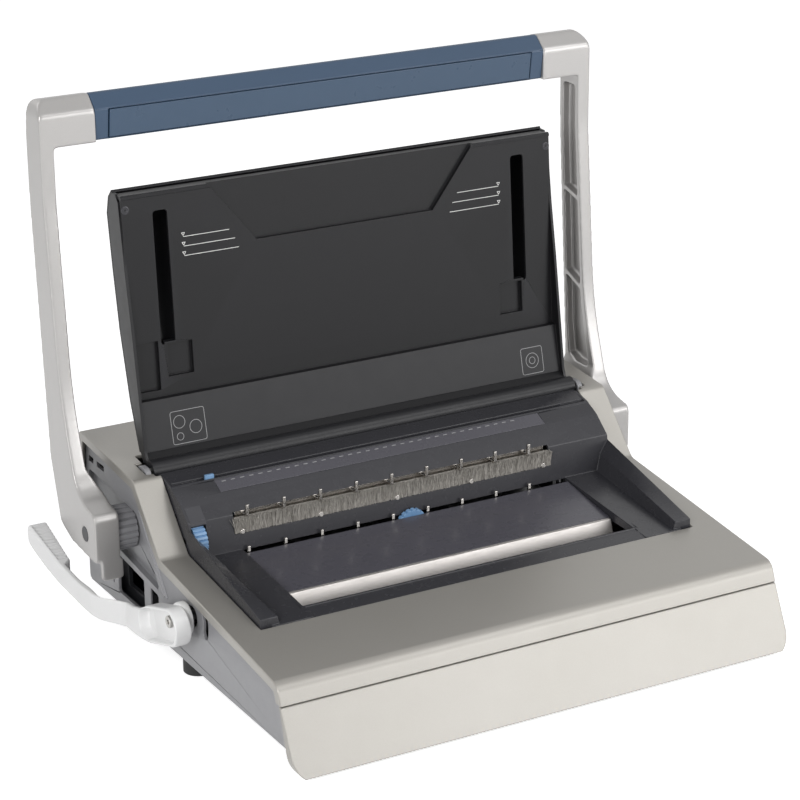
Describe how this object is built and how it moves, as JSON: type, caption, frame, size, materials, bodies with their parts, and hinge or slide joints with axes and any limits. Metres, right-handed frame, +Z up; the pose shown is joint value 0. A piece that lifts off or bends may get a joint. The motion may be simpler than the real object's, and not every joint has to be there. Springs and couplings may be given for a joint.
{
  "type": "manual wire binding machine",
  "caption": "Desk machine that punches sheets with a bail handle and closes wire binding elements with a side lever; folding lid and chip drawer.",
  "frame": {"origin": "middle of the whole footprint, on the desk", "axes": "+X to the right of the person using it, +Y to the back, +Z up"},
  "size_m": [0.544, 0.402, 0.4516],
  "materials": {
    "silver_plastic": "satin silver paint on moulded plastic",
    "grey_plastic": "fine grained grey moulding",
    "dark_plastic": "smooth dark grey moulding",
    "smoke_plastic": "polished smoke moulding",
    "blue_grip": "soft blue grip moulding",
    "blue_plastic": "light blue moulding",
    "white_plastic": "satin near-white moulding",
    "cast_silver": "die cast, silver paint",
    "plated_steel": "zinc plated",
    "bright_steel": "nickel plated",
    "black_steel": "black powder coat",
    "tool_steel": "ground and oiled",
    "brush_felt": "short stiff pile",
    "spring_steel": "oiled spring wire",
    "bearing_bronze": "sintered bronze",
    "black_rubber": "moulded rubber"
  },
  "bodies": {
    "chassis": {"top_cover": "silver_plastic", "left_side_panel": "grey_plastic", "right_side_panel": "grey_plastic", "rear_panel": "grey_plastic", "base_pan": "black_steel", "rubber_feet": "black_rubber", "foot_screws": "plated_steel", "work_deck": "dark_plastic", "throat_window": "smoke_plastic", "smoke_shelf": "smoke_plastic", "brush_strip": "brush_felt", "brush_clips": "bright_steel", "wire_hooks": "bright_steel", "wire_pins": "bright_steel", "left_frame": "black_steel", "right_frame": "black_steel", "hinge_brackets": "grey_plastic", "shaft_bushes": "bearing_bronze", "closer_bushes": "bearing_bronze", "die_plate": "tool_steel", "guide_plate": "tool_steel", "throat_shim": "plated_steel", "die_bolts": "plated_steel", "closer_bed": "plated_steel", "closer_anvil": "black_steel", "return_springs": "spring_steel"},
    "handle": {"punch_shaft": "tool_steel", "punch_cams": "tool_steel", "pivot_hubs": "grey_plastic", "left_arm": "cast_silver", "right_arm": "cast_silver", "arm_caps": "dark_plastic", "cross_tube": "plated_steel", "grip_sleeve": "blue_grip", "grip_inlay": "blue_grip"},
    "press": {"pressure_bar": "tool_steel", "punch_pins": "tool_steel"},
    "lid": {"lid_liner": "dark_plastic", "lid_shell": "dark_plastic", "hinge_pins": "plated_steel"},
    "closer": {"closer_lever": "white_plastic", "lever_screw": "plated_steel", "closer_shaft": "tool_steel", "closer_pinions": "tool_steel"},
    "jaw": {"closer_jaw": "plated_steel", "jaw_racks": "tool_steel"},
    "drawer": {"chip_drawer": "dark_plastic", "drawer_front": "silver_plastic"},
    "size_dial": {"size_wheel": "blue_plastic"},
    "closing_stop": {"stop_nut": "bearing_bronze"},
    "edge_dial": {"edge_wheel": "blue_plastic", "edge_screw": "plated_steel"},
    "edge_stop": {"edge_guide": "blue_plastic"}
  },
  "joints": [
    {"name": "handle_pull", "type": "hinge", "parent": "chassis", "child": "handle", "pos_m": [0.009, 0.111, 0.099], "axis": [1, 0, 0], "range_deg": [0, 104]},
    {"name": "press_slide", "type": "slide", "parent": "chassis", "child": "press", "axis": [0, -1, 0], "range_m": [0, 0.013], "stiffness_N_per_m": 600, "deforming": ["return_springs"]},
    {"name": "lid_fold", "type": "hinge", "parent": "chassis", "child": "lid", "pos_m": [0.009, 0.101, 0.147], "axis": [1, 0, 0], "range_deg": [0, 116.5]},
    {"name": "closer_pull", "type": "hinge", "parent": "chassis", "child": "closer", "pos_m": [0.009, -0.015, 0.066], "axis": [1, 0, 0], "range_deg": [0, 100]},
    {"name": "jaw_slide", "type": "slide", "parent": "chassis", "child": "jaw", "axis": [0, -1, 0], "range_m": [0, 0.014]},
    {"name": "drawer_pull", "type": "slide", "parent": "chassis", "child": "drawer", "axis": [0, -1, 0], "range_m": [0, 0.19]},
    {"name": "size_turn", "type": "hinge", "parent": "chassis", "child": "size_dial", "pos_m": [0.01, 0.03016, 0.08241], "axis": [0, -0.9883, -0.1523], "range_deg": [0, 300]},
    {"name": "stop_travel", "type": "slide", "parent": "chassis", "child": "closing_stop", "axis": [0, -0.9883, -0.1523], "range_m": [0, 0.008]},
    {"name": "edge_turn", "type": "hinge", "parent": "chassis", "child": "edge_dial", "pos_m": [-0.181, 0.0445, 0.103], "axis": [1, 0, 0], "range_deg": [-450, 450]},
    {"name": "edge_travel", "type": "slide", "parent": "chassis", "child": "edge_stop", "axis": [1, 0, 0], "range_m": [-0.003, 0.003]}
  ],
  "couplings": [
    {"joint": "press_slide", "follows": "handle_pull", "m_per_rad": 0.00716},
    {"joint": "jaw_slide", "follows": "closer_pull", "m_per_rad": 0.008},
    {"joint": "stop_travel", "follows": "size_turn", "m_per_rad": 0.00152},
    {"joint": "edge_travel", "follows": "edge_turn", "m_per_rad": 0.00038}
  ]
}
